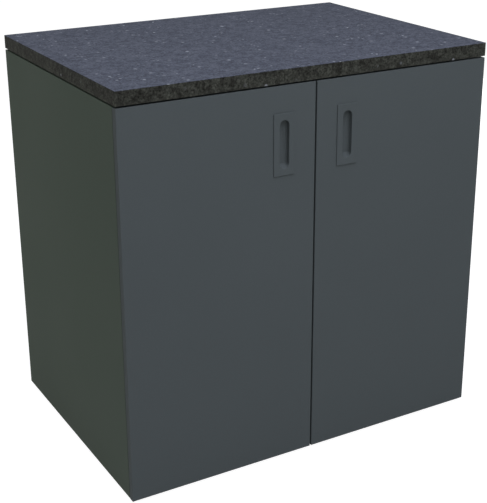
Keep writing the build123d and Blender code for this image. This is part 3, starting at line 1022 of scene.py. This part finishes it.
@dataclass(frozen=True)
class FlushPull:
    """A flush pull: a plate with a sunk pan for the fingers, and two screw bosses behind it."""

    side: Side
    plate_thickness: float = 2.5
    plate_corner: float = 1.0
    plate_arris: float = 0.4
    slot_width: float = 23.0
    slot_height: float = 103.5
    slot_depth: float = 12.5
    slot_end_share: float = 0.98
    slot_lip: float = 0.6
    slot_draft: float = 0.05
    foot_end_share: float = 0.3
    foot_slope: float = 0.6
    foot_round_share: float = 0.3
    floor_radius: float = 5.5
    wall_rings: tuple[float, ...] = (0.1, 0.5, 0.9)
    pan_wall: float = 1.2
    boss_radius: float = 3.6
    boss_bore: float = 2.0
    boss_length: float = 7.5
    boss_floor: float = 0.2
    quarter_points: int = 14
    arc_points: int = 6
    boss_columns: int = 32

    @property
    def node(self) -> str:
        """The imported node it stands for."""
        return f"flush_pull_{self.side.value}"

    def slot_ring(self, inset: float, deep: float) -> np.ndarray:
        """One ring of the slot's wall, about the slot's middle.

        The slot is a rectangle with round ends. With the depth its lower end rises and gets flatter,
        so that it is a ramp under the fingers, which meets the floor in a sharper corner than the
        sides do.

        Args:
            inset: How far the ring lies inside the slot's outline.
            deep: Its depth behind the plate's face.

        Returns:
            Across, behind the plate's face and up, one row for each point.
        """
        half_width = self.slot_width / 2 - inset
        share = max(deep - self.slot_lip, 0) / self.slot_depth
        foot_end = self.slot_end_share + share * (self.foot_end_share - self.slot_end_share)
        ring = rounded_ring(
            half_width,
            self.slot_height / 2 - inset,
            half_width * self.slot_end_share,
            half_width * foot_end,
            self.quarter_points,
        )
        sharper = (1 - self.foot_round_share) * max(inset, 0)
        ring[ring[:, 1] < 0, 1] += self.foot_slope * self.slot_depth * share - sharper
        return np.insert(ring, 1, deep, axis=1)

    def shell(self, width: float, height: float, reach: float) -> Mesh:
        """The plate and its pan as rings, from the pan's back round the plate and into the slot.

        Args:
            width: The plate's width.
            height: The plate's height.
            reach: From the plate's face to the pan's back.

        Returns:
            Its points in millimetres, about the middle of the plate's face, and its faces.
        """
        half_width, half_height = np.array([self.slot_width, self.slot_height]) / 2 + self.pan_wall
        end = half_width * self.slot_end_share
        pan = rounded_ring(half_width, half_height, end, end, self.quarter_points)
        corner, arris = self.plate_corner, self.plate_arris
        plate = rounded_ring(width / 2, height / 2, corner, corner, self.quarter_points)
        plate_face = rounded_ring(
            width / 2 - arris, height / 2 - arris, corner - arris, corner - arris, self.quarter_points
        )
        outside = [
            np.insert(ring, 1, deep, axis=1)
            for ring, deep in (
                (pan, reach),
                (pan, self.plate_thickness),
                (plate, self.plate_thickness),
                (plate, arris),
                (plate_face, 0.0),
            )
        ]
        arc = np.linspace(0, math.pi / 2, self.arc_points)
        falling, rising = 1 - np.sin(arc), 1 - np.cos(arc)
        wall_depth = self.slot_depth - self.floor_radius - self.slot_lip
        wall_inset = self.slot_draft * wall_depth
        along = np.array(self.wall_rings)
        lip = (-self.slot_lip * falling, self.slot_lip * rising)
        wall = (wall_inset * along, self.slot_lip + wall_depth * along)
        floor = (wall_inset + self.floor_radius * rising, self.slot_depth - self.floor_radius * falling)
        insets_and_depths = np.concatenate([lip, wall, floor], axis=1).T
        rings = outside + [self.slot_ring(inset, deep) for inset, deep in insets_and_depths]
        columns = len(pan)
        last = (len(rings) - 1) * columns
        faces = [tuple(quad) for quad in grid_quads(len(rings), columns).tolist()]
        faces.append(tuple(range(columns - 1, -1, -1)))
        faces.append(tuple(range(last, last + columns)))
        return np.concatenate(rings), faces

    def boss(self, up: float) -> Mesh:
        """A bored boss behind the plate, turned about an axis that runs from front to back.

        Args:
            up: Its height over the plate's middle.

        Returns:
            Its points in millimetres, about the middle of the plate's face, and its faces.
        """
        radii = np.array([self.boss_radius, self.boss_radius, self.boss_bore, self.boss_bore])
        behind_plate = np.array([0.0, self.boss_length, self.boss_length, self.boss_floor])
        depths = behind_plate + self.plate_thickness
        grid = np.ones((1, self.boss_columns))
        points, faces = lathe(radii[:, None] * grid, depths[:, None] * grid)
        return np.stack([points[:, 0], points[:, 2], up * MM - points[:, 1]], axis=-1) / MM, faces

    def build(self) -> None:
        """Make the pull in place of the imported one."""
        low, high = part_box(self.node)
        width, reach, height = (np.array(high) - np.array(low)) / MM
        boss_up = (self.slot_height / 2 + self.pan_wall + height / 2) / 2
        points, faces = join([self.shell(width, height, reach), self.boss(boss_up), self.boss(-boss_up)])
        face_middle = np.array([(low.x + high.x) / 2, low.y, (low.z + high.z) / 2])
        placed = (points * MM + face_middle, faces)
        piece = add_piece(f"{self.node}_moulding", placed, PULL_PLASTIC, f"door_{self.side.value}")
        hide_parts(self.node)


@dataclass(frozen=True)
class Worktop:
    """The stone slab on its rubber pads."""

    slab: str = "worktop"
    pads: str = "worktop_pads"

    def build(self) -> None:
        """Dress the slab and the pads."""
        dress_node(self.slab, GRANITE)
        dress_node(self.pads, RUBBER)


@dataclass(frozen=True)
class Carcass:
    """The boards, brackets, pins, inserts and feet of the cabinet's body."""

    flat_boards: tuple[str, ...] = ("base_panel", "shelf", "top_rail_front", "top_rail_back")

    def build(self) -> None:
        """Dress every piece of the body."""
        # Every carcass board takes the laminate colour with painted shade and a painted green tint
        for side in Side:
            dress_node(f"side_panel_{side.value}", laminate(Axis.X, "carcass", CARCASS_SHADED_COLOUR))
        for board in self.flat_boards:
            dress_node(board, laminate(Axis.Z, "carcass", CARCASS_SHADED_COLOUR))
        dress_node("back_panel", laminate(Axis.Y, "carcass", CARCASS_SHADED_COLOUR))
        dress_node("corner_brackets", ALUMINIUM)
        dress_node("shelf_pins", NICKEL)
        dress_node("foot_inserts", ZINC)
        Screws("bracket_screws", CARCASS).build()
        for row in Row:
            for side in Side:
                LevellingFoot(row, side).build()


@dataclass(frozen=True)
class CupHinge:
    """A concealed cup hinge: cup, two links, pins, arm and mounting plate."""

    level: Level
    side: Side
    pieces: tuple[str, ...] = ("cup", "outer_link", "inner_link", "arm_pins", "arm", "plate")

    def build(self) -> None:
        """Dress every piece of the hinge."""
        for piece in self.pieces:
            dress_node(f"hinge_{piece}_{self.level.value}_{self.side.value}", NICKEL)


@dataclass(frozen=True)
class Door:
    """A door with its flush pull, bumpers, hinges and screws."""

    side: Side

    def build(self) -> None:
        """Dress the door and all that it carries, and the hinge screws in the side panel."""
        end = self.side.value
        door = f"door_{end}"
        dress_node(door, laminate(Axis.Y, "door", DOOR_COLOUR))
        FlushPull(self.side).build()
        dress_node(f"door_bumpers_{end}", RUBBER)
        for level in Level:
            CupHinge(level, self.side).build()
        Screws(f"flush_pull_screws_{end}", door).build()
        Screws(f"hinge_cup_screws_{end}", door).build()
        Screws(f"hinge_plate_screws_{end}", CARCASS).build()
        Screws(f"hinge_arm_screws_{end}", CARCASS).build()


@dataclass(frozen=True)
class Lamp:
    """A square soft box. Its place and width are in metres and its power in watts."""

    name: str
    place: Place
    width: float
    power: float
    colour: str = "#ffffff"
    aim: Place = (0.0, 0.0, 0.45)

    def build(self) -> None:
        """Hang the lamp and turn it to what it lights."""
        data = bpy.data.lights.new(self.name, "AREA")
        data.shape = "SQUARE"
        data.size = self.width
        data.energy = self.power
        data.color = linear(self.colour)[:3]
        lamp = bpy.data.objects.new(self.name, data)
        lamp.location = self.place
        lamp.rotation_euler = (Vector(self.aim) - Vector(self.place)).to_track_quat("-Z", "Y").to_euler()
        bpy.context.scene.collection.objects.link(lamp)


@dataclass(frozen=True)
class Studio:
    """The pale floor, the soft light and the camera. Places and sizes are in metres.

    The camera sees a white background and a floor that is a mix of its matt paint and a white glow.
    Light that the cabinet gets comes from the lamps, the plain paint and an even light all round.
    """

    floor_half_width: float = 30.0
    floor_paint: str = "#d8d8d8"
    floor_glow: float = 1.55
    floor_glow_share: float = 0.6
    white: str = "#ffffff"
    ambient: str = "#eceeec"
    ambient_strength: float = 0.33
    camera_place: Place = (-1.2686, -2.2451, 1.4131)
    camera_azimuth_deg: float = 30.46
    camera_elevation_deg: float = 20.33
    focal_length_mm: float = 81.8
    shift: Span = (-0.0352, -0.0565)
    lamps: tuple[Lamp, ...] = (
        Lamp("top_soft_box", (0.0, -1.8, 3.1), 2.4, 86.0, "#ecefff"),
        Lamp("overhead_soft_box", (-0.4, -0.2, 3.4), 2.0, 26.0, "#e4ebff"),
        Lamp("front_soft_box", (-0.3, -3.8, 1.4), 2.4, 17.0),
        Lamp("left_soft_box", (-2.4, 0.3, 2.3), 1.6, 14.0),
        Lamp("back_soft_box", (2.4, 2.8, 0.42), 0.95, 56.0, "#f4f8f2"),
    )

    def seen_directly(self, tree: Tree) -> Feed:
        """Tell the rays that show the background from those that light the cabinet.

        Args:
            tree: The node tree that asks.

        Returns:
            One for camera, glossy and transmission rays, and zero for all others.
        """
        path = add_node(tree, "LightPath")
        seen = path.outputs["Is Camera Ray"]
        for kind in ("Is Glossy Ray", "Is Transmission Ray"):
            seen = add_node(tree, "Math", {"operation": "MAXIMUM"}, {0: seen, 1: path.outputs[kind]})
        return seen

    def world(self) -> None:
        """Make the even, faintly cool light from all round, behind a white background."""
        world = bpy.data.worlds.new("studio")
        bpy.context.scene.world = world
        world.use_nodes = True
        tree = world.node_tree
        tree.nodes.clear()
        light, white = (
            add_node(tree, "Background", {"Color": linear(colour), "Strength": strength})
            for colour, strength in ((self.ambient, self.ambient_strength), (self.white, 1.0))
        )
        mixed = add_node(tree, "MixShader", links={0: self.seen_directly(tree), 1: light, 2: white})
        add_node(tree, "OutputWorld", links={"Surface": mixed})

    def floor(self) -> None:
        """Make the matt floor that reads as white and keeps a faint shadow."""
        half = self.floor_half_width
        corners = [(-half, -half, 0), (half, -half, 0), (half, half, 0), (-half, half, 0)]
        data = bpy.data.meshes.new("studio_floor")
        data.from_pydata(corners, [], [(0, 1, 2, 3)])
        floor = bpy.data.objects.new("studio_floor", data)
        bpy.context.scene.collection.objects.link(floor)
        material = bpy.data.materials.new("pale_floor_paint")
        material.use_nodes = True
        tree = material.node_tree
        tree.nodes.clear()
        paint = add_node(tree, "BsdfDiffuse", {"Color": linear(self.floor_paint)})
        glow = add_node(tree, "Emission", {"Color": linear(self.white), "Strength": self.floor_glow})
        seen = self.seen_directly(tree)
        share = add_node(tree, "Math", {"operation": "MULTIPLY", 1: self.floor_glow_share}, {0: seen})
        mixed = add_node(tree, "MixShader", links={0: share, 1: paint, 2: glow})
        add_node(tree, "OutputMaterial", links={"Surface": mixed})
        data.materials.append(material)

    def camera(self) -> None:
        """Set the camera at the photograph's place and angle."""
        data = bpy.data.cameras.new("camera")
        data.lens = self.focal_length_mm
        data.shift_x, data.shift_y = self.shift
        camera = bpy.data.objects.new("camera", data)
        camera.location = self.camera_place
        tilt = math.radians(90 - self.camera_elevation_deg)
        camera.rotation_euler = (tilt, 0.0, -math.radians(self.camera_azimuth_deg))
        bpy.context.scene.collection.objects.link(camera)
        bpy.context.scene.camera = camera

    def build(self) -> None:
        """Set up the floor, the light and the camera."""
        self.world()
        self.floor()
        for lamp in self.lamps:
            lamp.build()
        self.camera()
        bpy.context.scene.view_settings.view_transform = "Standard"


def main() -> None:
    """Dress the cabinet, build its finer pieces and set up the studio."""
    logging.basicConfig(level=logging.INFO, format="%(name)s: %(message)s")
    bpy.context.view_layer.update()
    Worktop().build()
    Carcass().build()
    for side in Side:
        Door(side).build()
    Studio().build()
    bpy.context.view_layer.update()


if __name__ == "__main__":
    main()
